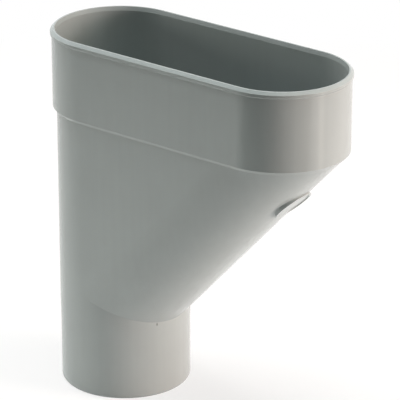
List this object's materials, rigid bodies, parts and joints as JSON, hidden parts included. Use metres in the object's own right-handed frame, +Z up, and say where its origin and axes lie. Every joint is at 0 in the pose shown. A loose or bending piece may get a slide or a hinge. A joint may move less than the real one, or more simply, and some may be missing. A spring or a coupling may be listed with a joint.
{
  "type": "offset oblong downpipe shoe",
  "caption": "Grey PVC rainwater shoe with an oblong socket mouth on top, one straight and one sloping end, and a plain round spigot that enters the pipe below.",
  "frame": {"origin": "centre of the open end of the round spigot", "axes": "+Z up along the spigot's axis towards the mouth, +X along the oblong mouth towards the sloping end, +Y across the mouth"},
  "size_m": [0.2056, 0.0836, 0.2263],
  "materials": {
    "pvc": "satin, as moulded"
  },
  "bodies": {
    "root": {"downpipe_shoe": "pvc"}
  },
  "joints": []
}
